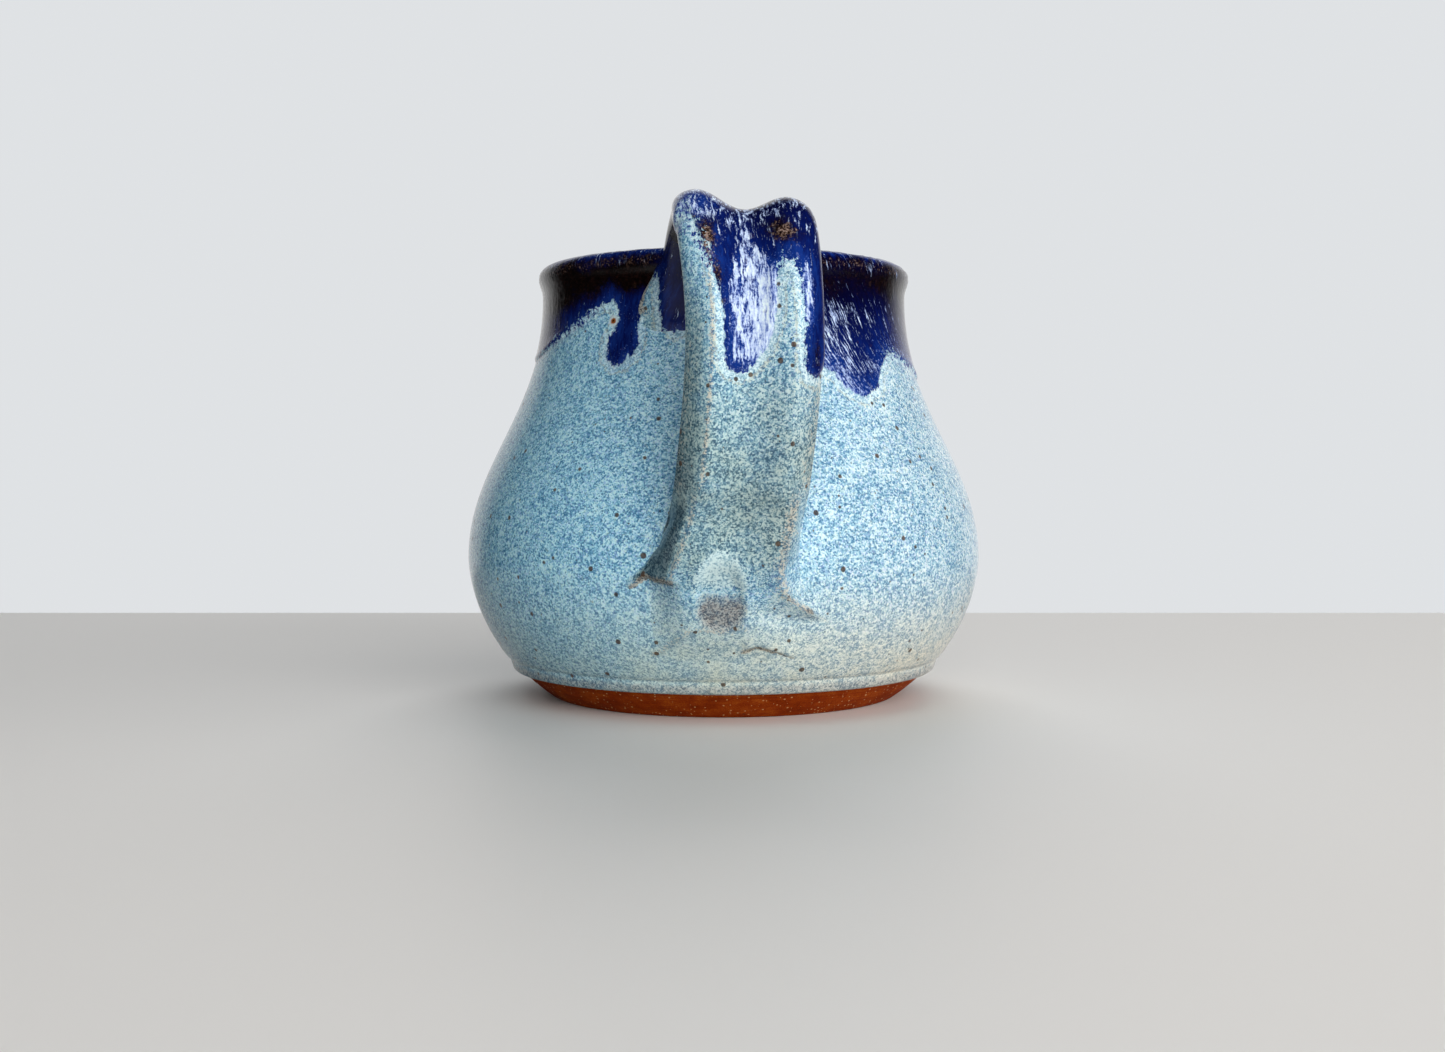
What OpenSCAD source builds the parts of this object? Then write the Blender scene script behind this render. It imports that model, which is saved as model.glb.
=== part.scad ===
// Wheel-thrown stoneware pitcher with a pulled strap handle, dipped in two glazes.
// Millimetres. The origin is the centre of the foot on the table, +Z is up,
// the handle points along -Y and the pouring lip along +Y.

/* [Body] */
// Height of the lip above the table
body_h = 118; // [108:1:130]
// Outer radius of the foot where it meets the table
foot_r = 48.4; // [44:0.2:54]
// Angle at which the wall leaves the foot, measured from level
foot_lean = 34; // [28:1:42]
// Length of the nearly straight wall above the foot
foot_run = 23; // [16:1:26]
// Widest radius of the belly
belly_r = 71.2; // [66:0.2:77]
// Height of the widest point of the belly
belly_z = 38.6; // [35:0.2:43]
// Upright stretch of wall below the widest point
belly_low = 6.6; // [4:0.2:11]
// Upright stretch of wall above the widest point
belly_high = 26; // [16:1:32]
// Narrowest radius of the neck
neck_r = 50; // [46:0.2:55]
// Distance from the lip down to the narrowest point
neck_drop = 5.4; // [4.4:0.2:9]
// Upright stretch of wall below the narrowest point
neck_run = 33.4; // [22:0.2:38]
// How far the lip stands out past the neck
lip_flare = 1.2; // [0.4:0.1:3]

/* [Walls] */
// Thickness of the thrown wall
wall_t = 4.8; // [3.6:0.1:6]
// Thickness of the rounded lip
lip_t = 4.2; // [3.2:0.1:5.4]
// Height of the inside floor above the table
floor_t = 7; // [5.6:0.2:9]
// Width of the ring that the pitcher stands on
foot_ring_w = 9; // [6:0.5:14]
// Depth of the shallow hollow turned inside that ring
foot_hollow_d = 1.2; // [0.6:0.1:2]

/* [Pouring lip] */
// How far the pouring lip reaches past the round lip
spout_reach = 11; // [7:0.5:14]
// Width of the pouring lip where it leaves the round lip
spout_w = 36; // [28:1:42]
// How far below the lip the pull begins
spout_drop = 27; // [20:1:32]
// Radius of the pull where it begins
spout_start_r = 5; // [4:0.5:7]
// Thickness of the pulled wall
spout_t = 3.6; // [3:0.1:4.6]

/* [Handle] */
// Width of the strap at the crest
strap_top_w = 32; // [26:0.5:36]
// Width of the strap below the grip
strap_low_w = 29.4; // [24:0.5:34]
// Thickness of the strap over its two ridges
strap_t = 8.6; // [7:0.2:10]
// Depth of the channel between the two ridges
channel_d = 3; // [1:0.1:3.6]
// Height of the crest above the lip
crest_rise = 10; // [5:0.5:15]
// Distance from the lip down to the middle of the upper root
root_drop = 15; // [12:0.5:18]
// How far the strap rises before it turns over the crest
root_rise = 17; // [12:0.5:22]
// Distance of the crest from the neck
crest_out = 22; // [18:0.5:26]
// Half length of the rounded crest
crest_round = 10; // [7:0.5:13]
// How far the outermost strap centre stands past the belly
grip_out = 14.6; // [11:0.2:18]
// Distance from the crest down to the outermost point
grip_drop = 30; // [25:0.5:36]
// Upright stretch of strap above the outermost point
grip_high = 17; // [12:0.5:22]
// Upright stretch of strap below the outermost point
grip_low = 24; // [18:0.5:28]
// How far the strap bows sideways at the crest
crest_bow = 4.4; // [0:0.2:7]
// How far the strap bows sideways at the grip
grip_bow = 7; // [0:0.2:9]
// Height at which the tail of the strap sinks into the belly
tail_z = 12.5; // [10:0.5:16]
// Height over which the tail lies along the belly
tail_run = 21.5; // [17:0.5:26]
// How far the strap stands off the belly where the tail begins
tail_lift = 8; // [6:0.5:10]
// Extra width of the strap where it is smeared onto the neck
root_flare = 16; // [8:0.5:20]
// Extra width of the strap where it is smeared onto the belly
tail_flare = 17; // [8:0.5:20]
// How much of that width the very end of the tail loses
tail_taper = 12; // [4:0.5:16]
// Width of the finger mark pressed into the lower root
press_w = 13; // [10:0.2:16]
// Length of the finger mark
press_l = 18; // [15:0.5:22]
// Clay left between the finger mark and the belly
press_floor = 1.6; // [0.8:0.1:2.6]
// Height of the middle of the finger mark
press_z = 33; // [30:0.5:36]

/* [Glaze] */
// Thickness of the pale blue glaze
glaze_t = 0.5; // [0.3:0.05:0.8]
// Thickness of the cobalt glaze over it
cobalt_t = 0.4; // [0.3:0.05:0.6]
// Height of the bare clay band above the table
bare_h = 6.9; // [4:0.1:10]
// Distance from the lip down to the level edge of the cobalt dip
dip_drop = 13; // [9:0.5:15]
// Distance from the crest down to the edge of the cobalt on the strap
strap_dip_drop = 14; // [10:0.5:18]

/* [Hidden] */

$fn = 96;
curve_steps = 12;
lip_steps = 5;
strap_steps = 8;
tail_steps = 13;
strap_sides = 24;
root_last = 6;
tail_first = 20;
run_steps = 8;
clay = "sienna";
pale_blue = "lightsteelblue";
cobalt = "midnightblue";

lip_r = neck_r + lip_flare;
neck_z = body_h - neck_drop;
crown_r = lip_r - lip_t / 2;
crown_z = body_h - lip_t / 2;
foot_hollow_r = foot_r - foot_ring_w;
coats_t = glaze_t + cobalt_t;
dip_z = body_h - dip_drop;
// Room that a cutting shape keeps past what it cuts
clear = 10;
reach = belly_r + grip_out + strap_t + clear;

// Runs of cobalt below the level edge: angle from the handle, width, length
dip_runs = [
    [-150, 24, 14], [-110, 28, 9], [-77, 26, 15], [-54, 20, 7], [-28.5, 7, 15],
    [38, 20, 23], [54, 15, 11], [80, 30, 17], [122, 24, 13], [149, 20, 8]
];
// Runs of cobalt down the strap: distance from its middle, width, end below the crest
strap_runs = [[-2.4, 11, 39], [12.8, 4.6, 39.5]];

function mix(a, b, t) = a + (b - a) * t;
function unit(v) = v / norm(v);
function ease(t) = t * t * (3 - 2 * t);
function clamp01(t) = min(1, max(0, t));
function bend(v, p) = sign(v) * pow(abs(v), p);
function bezier(p, t) =
    p[0] * pow(1 - t, 3) + 3 * p[1] * t * pow(1 - t, 2) + 3 * p[2] * t * t * (1 - t) + p[3] * pow(t, 3);
function curve(p, steps, first = 0) = [for (i = [first : steps]) bezier(p, i / steps)];

// Outside of the wall from the foot up to the neck, as radius and height
foot_curve = [
    [foot_r, 0],
    [foot_r + foot_run * cos(foot_lean), foot_run * sin(foot_lean)],
    [belly_r, belly_z - belly_low],
    [belly_r, belly_z]
];
shoulder_curve = [
    [belly_r, belly_z],
    [belly_r, belly_z + belly_high],
    [neck_r, neck_z - neck_run],
    [neck_r, neck_z]
];
wall_line = concat(curve(foot_curve, curve_steps), curve(shoulder_curve, curve_steps, 1));

function tangent(line, i) = unit(line[min(i + 1, len(line) - 1)] - line[max(i - 1, 0)]);
function shifted(line, d) = [
    for (i = [0 : len(line) - 1]) let (t = tangent(line, i)) line[i] + d * [t[1], -t[0]]
];
function lip_arc(r, from, to) = [
    for (i = [0 : lip_steps]) let (a = mix(from, to, i / lip_steps))
        [crown_r + r * cos(a), crown_z + r * sin(a)]
];
function radius_at(z, line = wall_line) = lookup(z, [for (p = line) [p[1], p[0]]]);

// The filled outside form, grown by a coat
function outside_line(coat) = concat(shifted(wall_line, coat), lip_arc(lip_t / 2 + coat, 0, 90));
module round_outside(coat) {
    line = outside_line(coat);
    rotate_extrude()
        polygon(concat([[0, line[0][1]]], line, [[0, line[len(line) - 1][1]]]));
}

// The filled inside form, shrunk by a coat, open upwards past the lip
module round_inside(coat) {
    floor_z = floor_t + coat;
    line = shifted(wall_line, -wall_t - coat);
    above = [for (p = line) if (p[1] > floor_z + wall_t / 2) p];
    rotate_extrude()
        polygon(concat(
            [[0, floor_z], [radius_at(floor_z + wall_t / 2, line) - wall_t / 2, floor_z]],
            above,
            lip_arc(lip_t / 2 + coat, 180, 90),
            [[crown_r, body_h + clear], [0, body_h + clear]]
        ));
}

// A cone leaning out of the neck, grown by a coat outside or shrunk by wall and coat inside
spout_z = body_h - spout_drop;
spout_start_y = radius_at(spout_z) - spout_start_r - spout_t;
spout_end_y = lip_r + spout_reach - spout_w / 2;
spout_tilt = atan2(spout_end_y - spout_start_y, spout_drop);
spout_l = norm([spout_end_y - spout_start_y, spout_drop]);
spout_growth = (spout_w / 2 - spout_start_r) / spout_l;
module spout_cone(grow, l) {
    translate([0, spout_start_y, spout_z])
        rotate([-spout_tilt, 0, 0])
            cylinder(h = l, r1 = spout_start_r + grow, r2 = spout_start_r + grow + spout_growth * l);
}

module above(z) {
    translate([-reach, -reach, z])
        cube([2 * reach, 2 * reach, body_h + reach]);
}

module below(z) {
    translate([-reach, -reach, z - body_h])
        cube([2 * reach, 2 * reach, body_h]);
}

module outside(coat) {
    round_outside(coat);
    difference() {
        spout_cone(coat, spout_l + clear);
        above(body_h + coat);
    }
}

module inside(coat) {
    round_inside(coat);
    spout_cone(-spout_t - coat, spout_l + clear);
}

module wall(coat) {
    difference() {
        outside(coat);
        inside(coat);
    }
}

// The strap's middle line as sideways, outward and upward distances
root_z = body_h - root_drop;
crest_z = body_h + crest_rise - strap_t / 2;
crest_r = neck_r + crest_out;
grip_r = belly_r + grip_out;
grip_z = crest_z - grip_drop;
root_sink = 7;
tail_sink = 7.5;
root_angle = 52;
rise_curve = [
    [0, radius_at(root_z) - root_sink, root_z],
    [0, radius_at(root_z) - root_sink + root_rise * cos(root_angle), root_z + root_rise * sin(root_angle)],
    [crest_bow, crest_r - crest_round, crest_z],
    [crest_bow, crest_r, crest_z]
];
crest_curve = [
    [crest_bow, crest_r, crest_z],
    [crest_bow, crest_r + crest_round, crest_z],
    [grip_bow, grip_r, grip_z + grip_high],
    [grip_bow, grip_r, grip_z]
];
tail_curve = [
    [grip_bow, grip_r, grip_z],
    [grip_bow, grip_r, grip_z - grip_low],
    [0, radius_at(tail_z + tail_run) + tail_lift, tail_z + tail_run],
    [0, radius_at(tail_z) - tail_sink, tail_z]
];
strap_line = concat(
    curve(rise_curve, strap_steps),
    curve(crest_curve, strap_steps, 1),
    curve(tail_curve, tail_steps, 1)
);
strap_last = len(strap_line) - 1;
ridge_at = 0.78;
edge_round = 0.6;
// Share of the tail over which it spreads before it tapers
tail_spread = 0.75;

function in_space(p) = [p[0], -p[1], p[2]];
// How far a ring has come into the upper root or into the tail, from 0 to 1
function in_root(i) = clamp01(1 - i / (strap_steps - 2));
function in_tail(i) = clamp01(1 - (strap_last - i) / (tail_steps - 2));
function strap_width(i) =
    mix(strap_top_w, strap_low_w, i / strap_last)
    + root_flare * pow(in_root(i), 2)
    + tail_flare * ease(clamp01(in_tail(i) / tail_spread))
    - tail_taper * ease(clamp01((in_tail(i) - tail_spread) / (1 - tail_spread)));
// How far a point across the tail falls back to follow the round belly
function hug(i, x) = ease(in_tail(i)) * x * x / (2 * strap_line[i][1]);

// How far the front of a ring stands off the belly
function stand(i) = strap_line[i][1] - radius_at(strap_line[i][2]) + strap_t / 2;
// Depth of the finger mark in a ring, at a distance across the strap
function press_depth(i, x) =
    max(0, stand(i) - press_floor)
    * sqrt(clamp01(1 - pow(2 * x / press_w, 2) - pow(2 * (strap_line[i][2] - press_z) / press_l, 2)));

// One cross-section: rounded edges, a flat back and a channel along the front
function strap_section(i, w, t, channel) = [
    for (k = [0 : strap_sides - 1])
        let (
            a = 360 * (k + 0.5) / strap_sides,
            across = mix(cos(a), bend(cos(a), edge_round), pow(cos(a), 2)),
            dip = channel * pow(clamp01(1 - pow(across / ridge_at, 2)), 2),
            front = sin(a) > 0 ? dip + press_depth(i, across * w / 2) : 0
        )
        [across * w / 2, bend(sin(a), edge_round) * t / 2 - front]
];
function strap_ring(i, coat) =
    let (
        line = [for (p = strap_line) in_space(p)],
        along = tangent(line, i),
        across = unit([1, 0, 0] - along[0] * along),
        out = cross(along, across),
        channel = channel_d * (1 - ease(in_tail(i))),
        section = strap_section(i, strap_width(i) + 2 * coat, strap_t + 2 * coat, channel)
    )
    [for (q = section) line[i] + q[0] * across + (q[1] - hug(i, q[0])) * out];

// Triangles between one ring of points and the next
function ring_faces(from, to, turned = false) = [
    for (k = [0 : strap_sides - 1])
        let (
            a = from + k,
            b = from + (k + 1) % strap_sides,
            c = to + k,
            d = to + (k + 1) % strap_sides
        )
        each turned ? [[a, b, d], [a, d, c]] : [[a, d, b], [a, c, d]]
];

// The strap from one ring to another, grown by a coat
module strap(coat, first = 0, last = strap_last) {
    points = [for (i = [first : last]) each strap_ring(i, coat)];
    end = (last - first) * strap_sides;
    polyhedron(points, concat(
        [for (i = [0 : last - first - 1]) each ring_faces(i * strap_sides, (i + 1) * strap_sides)],
        [[for (k = [0 : strap_sides - 1]) k]],
        [[for (k = [strap_sides - 1 : -1 : 0]) end + k]]
    ));
}

// The skin between two coats along the strap
module strap_skin(coat_in, coat_out, first = 0, last = strap_last) {
    rings = last - first + 1;
    inner = rings * strap_sides;
    end = (rings - 1) * strap_sides;
    points = concat(
        [for (i = [first : last]) each strap_ring(i, coat_out)],
        [for (i = [first : last]) each strap_ring(i, coat_in)]
    );
    polyhedron(points, concat(
        [for (i = [0 : rings - 2]) each ring_faces(i * strap_sides, (i + 1) * strap_sides)],
        [for (i = [0 : rings - 2])
            each ring_faces(inner + i * strap_sides, inner + (i + 1) * strap_sides, true)],
        ring_faces(0, inner, true),
        ring_faces(end, inner + end)
    ));
}

// The two ends of the strap, where it meets the body
module strap_ends(coat) {
    strap(coat, 0, root_last);
    strap(coat, tail_first);
}

// One run of glaze with a round lower end, drawn as a tongue that hangs from the edge
module tongue(w, l) {
    rotate([90, 0, 0])
        linear_extrude(height = reach)
            polygon(concat(
                [[w / 2, clear], [-w / 2, clear]],
                [for (i = [0 : run_steps]) let (a = 180 + 180 * i / run_steps)
                    [w / 2 * cos(a), w / 2 - l + w / 2 * sin(a)]]
            ));
}

module rim_dip() {
    above(dip_z);
    for (run = dip_runs)
        rotate([0, 0, run[0]])
            translate([0, 0, dip_z])
                tongue(run[1], run[2]);
}

module strap_dip() {
    edge_z = crest_z - strap_dip_drop;
    above(edge_z);
    for (run = strap_runs)
        translate([grip_bow + run[0], 0, edge_z])
            tongue(run[1], run[2] - strap_dip_drop);
}

module thrown_body() {
    color(clay)
        difference() {
            wall(0);
            translate([0, 0, -clear])
                cylinder(h = clear + foot_hollow_d, r = foot_hollow_r);
        }
}

module pulled_handle() {
    color(clay)
        difference() {
            strap(0);
            round_outside(0);
        }
}

module outer_glaze() {
    color(pale_blue)
        difference() {
            outside(glaze_t);
            outside(0);
            inside(0);
            below(bare_h);
            strap_ends(glaze_t);
        }
}

module liner_glaze() {
    color(pale_blue)
        difference() {
            inside(0);
            inside(glaze_t);
            above(body_h + glaze_t);
        }
}

module handle_glaze() {
    color(pale_blue)
        difference() {
            strap_skin(0, glaze_t);
            round_outside(0);
        }
}

module rim_overglaze() {
    color(cobalt)
        difference() {
            intersection() {
                wall(coats_t);
                rim_dip();
            }
            wall(glaze_t);
            strap(coats_t, 0, root_last);
        }
}

module handle_overglaze() {
    color(cobalt)
        difference() {
            intersection() {
                strap_skin(glaze_t, coats_t, 0, tail_first);
                strap_dip();
            }
            round_outside(glaze_t);
        }
}

thrown_body();
pulled_handle();
outer_glaze();
liner_glaze();
handle_glaze();
rim_overglaze();
handle_overglaze();
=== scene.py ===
"""Looks of a hand-thrown pitcher: two dipped glazes over red clay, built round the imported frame."""

import math

import bmesh
import bpy
import numpy as np
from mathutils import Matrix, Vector


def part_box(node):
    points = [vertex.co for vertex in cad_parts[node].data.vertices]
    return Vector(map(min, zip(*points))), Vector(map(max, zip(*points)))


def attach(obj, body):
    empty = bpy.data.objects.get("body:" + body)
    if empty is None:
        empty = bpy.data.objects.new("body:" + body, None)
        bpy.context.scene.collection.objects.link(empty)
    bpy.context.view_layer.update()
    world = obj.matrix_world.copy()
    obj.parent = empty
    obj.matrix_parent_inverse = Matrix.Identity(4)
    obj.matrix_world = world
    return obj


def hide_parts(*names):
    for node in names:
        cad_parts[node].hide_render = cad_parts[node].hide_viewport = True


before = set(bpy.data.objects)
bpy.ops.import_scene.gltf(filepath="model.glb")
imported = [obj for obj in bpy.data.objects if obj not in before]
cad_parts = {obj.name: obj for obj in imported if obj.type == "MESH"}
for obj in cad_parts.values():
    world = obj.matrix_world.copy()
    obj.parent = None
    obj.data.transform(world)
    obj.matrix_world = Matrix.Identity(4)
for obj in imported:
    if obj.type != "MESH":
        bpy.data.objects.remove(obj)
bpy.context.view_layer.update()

# Lengths are in millimetres, heights above the ground, and turns in degrees from the handle
MM = 0.001
LIP_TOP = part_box("thrown_body")[1].z / MM
BELLY_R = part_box("thrown_body")[1].x / MM

# Thrown wall
FOOT_R = 48.4
FOOT_LEAN = 34
FOOT_RUN = 23
BELLY_Z = 38.6
BELLY_LOW = 6.6
BELLY_HIGH = 26
NECK_R = 50
NECK_Z = LIP_TOP - 7.5
NECK_RUN = 31.3
LIP_R = 51.1
LIP_T = 4.2
WALL_T = 4.8
FLOOR_Z = 7
FOOT_RING_W = 9
FOOT_HOLLOW = 1.2
FOOT_EDGE = 0.5

# Pouring lip
SPOUT_REACH = 11
SPOUT_DROP = 30
SPOUT_TURN = 17
THROAT_TURN = 31
THROAT_W = 9
THROAT_IN = 1.2

# Glazes, with the depth of their backs in the clay and the roll along the cobalt's edge
GLAZE_T = 0.5
GLAZE_KEY = 0.3
COBALT_T = 0.35
COBALT_RUN = 0.7
ROLL_T = 0.22
ROLL_IN = 1.3
ROLL_W = 0.9
BURIED = 0.12
BURIED_RUN = 0.3
COBALT_BACK = 0.25
BARE_H = 7.4
BEAD_EDGE = 0.9
INNER_DIP = 17
INNER_WAVE = 2.5
PINHOLE = (-28, -43.1, 100.8)

# Strap handle
STRAP_W = 31.4
STRAP_T = 9.4
STRAP_FLAT = 0.62
STRAP_RIDGE = 0.64
STRAP_BEVEL = 1.25
STRAP_WIDEST = 0.4
CREST_CHANNEL = 3.7
GRIP_CHANNEL = 2.3
STRAP_ROLL = 0.085
ROOT_Z = LIP_TOP - 15
ROOT_TOP = LIP_TOP - 2
CREST_Z = LIP_TOP + 4.6
CREST_X = 4.4
CREST_R = 72
CREST_HALF = 10
GRIP_X = 7
GRIP_R = 85.8
GRIP_Z = LIP_TOP - 24.3
NECK_PART = -9

# Fineness of the meshes
TURN_STEPS = 400
RIM_COLUMNS = 640
STRAP_ROWS = 230
FRONT_STEPS = 72
BACK_STEPS = 44
MERGE = 2e-6

# Back edge of the floor and half its width, in metres
FLOOR_END = 0.232
FLOOR_HALF = 0.5


def ramp(value, start, end):
    """A smooth step from 0 at start to 1 at end, which may lie below the start."""
    t = np.clip((value - start) / (end - start), 0, 1)
    return t * t * (3 - 2 * t)


def bump(value, middle, width):
    """A bell of height 1."""
    return np.exp(-(((value - middle) / width) ** 2))


def arch(value, half):
    """A round hump of height 1, as wide on each side as half."""
    return np.cos(np.clip(value / half, -1, 1) * math.pi / 2) ** 2


def bezier(points, count):
    """Points along a cubic curve."""
    t = np.linspace(0, 1, count)[:, None]
    a, b, c, d = (np.array(p, float) for p in points)
    return a * (1 - t) ** 3 + 3 * b * t * (1 - t) ** 2 + 3 * c * t * t * (1 - t) + d * t**3


def lengths(line):
    """Distance along a line at each of its points."""
    return np.concatenate([[0], np.cumsum(np.linalg.norm(np.diff(line, axis=0), axis=1))])


def at_length(line, where, values=None):
    """Points of a line, or values known at its points, at given distances along it."""
    done = lengths(line)
    columns = (line if values is None else values).T
    return np.stack([np.interp(where, done, column) for column in columns], 1)


def joined(*lines):
    """Lines end to end, without the points that they share."""
    return np.concatenate([lines[0]] + [line[1:] for line in lines[1:]])


def unit(ways):
    """Vectors made one long."""
    return ways / np.linalg.norm(ways, axis=1)[:, None]


def normals(line):
    """Unit normals on the right of a line of radius and height."""
    way = unit(np.gradient(line, axis=0))
    return np.stack([way[:, 1], -way[:, 0]], 1)


# Outside of the clay, from the foot to the top of the lip, and its inside, from there to the floor
LEAN = math.radians(FOOT_LEAN)
CROWN = np.array([LIP_R - LIP_T / 2, LIP_TOP - LIP_T / 2])


def lip_arc(start, end):
    turn = np.radians(np.linspace(start, end, 14))[:, None]
    return CROWN + LIP_T / 2 * np.concatenate([np.cos(turn), np.sin(turn)], 1)


WALL = joined(
    bezier([(FOOT_R, 0), (FOOT_R + FOOT_RUN * math.cos(LEAN), FOOT_RUN * math.sin(LEAN)),
            (BELLY_R, BELLY_Z - BELLY_LOW), (BELLY_R, BELLY_Z)], 90),
    bezier([(BELLY_R, BELLY_Z), (BELLY_R, BELLY_Z + BELLY_HIGH),
            (NECK_R, NECK_Z - NECK_RUN), (NECK_R, NECK_Z)], 120),
)
FLARE = bezier([(NECK_R, NECK_Z), (NECK_R, NECK_Z + 3), (LIP_R, CROWN[1] - 1.8), (LIP_R, CROWN[1])], 14)
OUTSIDE = joined(WALL, FLARE, lip_arc(0, 90))
INNER_WALL = (WALL - WALL_T * normals(WALL))[::-1]
INNER_WALL = INNER_WALL[INNER_WALL[:, 1] > FLOOR_Z + WALL_T]
INNER_TOP, INNER_END = INNER_WALL[0], INNER_WALL[-1]
LIP_END = lip_arc(180, 180)[0]
FLAT_EDGE = (INNER_END[0] - 12, FLOOR_Z)
INSIDE = joined(
    lip_arc(90, 180),
    bezier([LIP_END, LIP_END - (0, 1.4), INNER_TOP + (0, 1.4), INNER_TOP], 10),
    INNER_WALL,
    bezier([INNER_END, INNER_END - (2.6, 3), (INNER_END[0] - 7, FLOOR_Z), FLAT_EDGE], 12),
    np.linspace(FLAT_EDGE, (0, FLOOR_Z), 24),
)
SKIN_NORMALS = normals(WALL)
SKIN = WALL + GLAZE_T * SKIN_NORMALS


def skin_radius(height):
    """Radius of the glazed body at a height."""
    return np.interp(height, SKIN[:, 1], SKIN[:, 0])


def skin_way(height):
    """How far out and up the glazed body faces at a height."""
    return [np.interp(height, SKIN[:, 1], column) for column in SKIN_NORMALS.T]


def turn_of(points):
    """Turn of points round the pitcher's axis, in radians from the handle."""
    return np.arctan2(points[:, 0], -points[:, 1])


def round_axis(turn, radius, height):
    """Points at a turn, a radius and a height."""
    return np.stack([radius * np.sin(turn), -radius * np.cos(turn), height], 1)


def from_body(turn, height, lift):
    """Points at a turn round the body, a height on its glaze and a distance off it."""
    out, up = skin_way(height)
    return round_axis(turn, skin_radius(height) + lift * out, height + lift * up)


def to_body(points):
    """Turn, height on the glaze and distance off it of points near the body."""
    radius = np.hypot(points[:, 0], points[:, 1])
    height = points[:, 2].copy()
    for _ in range(8):
        out, up = skin_way(height)
        lift = (radius - skin_radius(height)) * out + (points[:, 2] - height) * up
        height = points[:, 2] - lift * up
    return turn_of(points), height, lift


def pulled(points):
    """Points of the round body with the pouring lip drawn out of it, opposite the handle."""
    turn = np.abs(np.degrees(np.arctan2(points[:, 0], points[:, 1])))
    rise = np.clip((points[:, 2] - LIP_TOP + SPOUT_DROP) / SPOUT_DROP, 0, 1.1)
    draw = SPOUT_REACH * rise**2.2 * bump(turn, 0, SPOUT_TURN)
    pinch = THROAT_IN * rise**2 * bump(turn, THROAT_TURN, THROAT_W)
    radius = np.hypot(points[:, 0], points[:, 1])
    inward = np.divide(pinch, radius, out=np.zeros_like(pinch), where=radius > 1)
    moved = points.copy()
    moved[:, 0] *= 1 - inward
    moved[:, 1] = points[:, 1] * (1 - inward) + draw
    return moved


def polyline(x, y, points):
    """Distance of each spot from a line of points, and how far along its points the nearest place is."""
    best = np.full(len(x), np.inf)
    place = np.zeros(len(x))
    for i, ((ax, ay), (bx, by)) in enumerate(zip(points, points[1:])):
        dx, dy = bx - ax, by - ay
        t = np.clip(((x - ax) * dx + (y - ay) * dy) / (dx * dx + dy * dy), 0, 1)
        gap = np.hypot(x - ax - t * dx, y - ay - t * dy)
        near = gap < best
        best = np.where(near, gap, best)
        place = np.where(near, i + t, place)
    return best, place


def within(x, y, corners):
    """True for each spot inside a closed outline."""
    found = np.zeros(len(x), bool)
    for (ax, ay), (bx, by) in zip(corners, corners[1:] + corners[:1]):
        if ay != by:
            found ^= ((ay > y) != (by > y)) & (x < (bx - ax) * (y - ay) / (by - ay) + ax)
    return found


def signed(x, y, border, far_side):
    """Distance from a border, positive on the side that the far corners close in."""
    gap, _ = polyline(x, y, border)
    return np.where(within(x, y, border + far_side), gap, -gap)


# Lower edge of the cobalt round the neck, as turn and height
BORDER_R = 52
NECK_BORDER = [
    (-186, 95), (-180, 96), (-165, 94), (-150, 90), (-138, 95), (-125, 97), (-112, 93), (-100, 96.5),
    (-90, 94.5), (-80, 92.6), (-72, 93.6), (-65, 95), (-59, 96.8), (-53, 98.8), (-46, 101),
    (-42, 103.6), (-37, 105.4), (-33.1, 106), (-31.7, 104.2), (-31, 101), (-32.2, 98.4), (-34.4, 96.8),
    (-34.6, 93.4), (-33.6, 91), (-31, 89.2), (-28, 89.6), (-27.3, 92.2), (-25.4, 91.4), (-24.2, 95),
    (-24.8, 99.3), (-24, 103), (-17, 100.9), (-13.4, 97.3), (-10.4, 99), (-4, 97), (3, 98), (10, 96),
    (17, 94), (23, 91), (27, 88.7), (30, 87.6), (33, 84.1), (36, 82.2), (39.7, 81.2), (42, 82.8),
    (45.6, 84), (47.3, 87), (48.5, 89.3), (51.6, 90.5), (52.8, 93), (56, 93.4), (61, 92.7),
    (65.6, 91.6), (76, 90.4), (81, 87.6), (88, 90), (96, 94), (108, 92), (118, 88), (128, 93),
    (140, 96), (152, 91), (165, 95), (180, 96), (186, 95),
]
NECK_LINE = [(math.radians(turn) * BORDER_R, height) for turn, height in NECK_BORDER]
NECK_FAR = [(x, LIP_TOP + 30) for x, _ in (NECK_LINE[-1], NECK_LINE[0])]


def neck_cobalt(turn, height):
    """Distance inside the cobalt's edge on the body."""
    found = np.full(len(turn), -30.0)
    near = height > 70
    found[near] = signed(turn[near] * BORDER_R, height[near], NECK_LINE, NECK_FAR)
    return found


def inner_dip(turn):
    """How far the cobalt's wavy edge inside the neck lies below the lip."""
    return INNER_DIP + INNER_WAVE * np.sin(5 * turn)


def wall_radius(height):
    """Radius of the clay body at a height."""
    return float(np.interp(height, WALL[:, 1], WALL[:, 0]))


# Middle line of the strap, from inside the neck over the crest and into the belly
RISE = np.array([0, wall_radius(ROOT_Z) - 7, ROOT_Z])
CREST = np.array([CREST_X, CREST_R, CREST_Z])
GRIP = np.array([GRIP_X, GRIP_R, GRIP_Z])
TAIL = (0, wall_radius(12.5) - 7.5, 12.5)
STRAP_CURVES = joined(
    bezier([RISE, RISE + (0, 10.5, 13.4), CREST - (0, CREST_HALF, 0), CREST], 200),
    bezier([CREST, CREST + (0, CREST_HALF, 0), GRIP + (0, 0, 17), GRIP], 200),
    bezier([GRIP, GRIP - (0, 0, 24), (0, wall_radius(34) + 8, 34), TAIL], 300),
)
STRAP_STEPS = np.linspace(0, lengths(STRAP_CURVES)[-1], STRAP_ROWS + 1)
STRAP_LINE = at_length(STRAP_CURVES, STRAP_STEPS) * (1, -1, 1)
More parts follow.
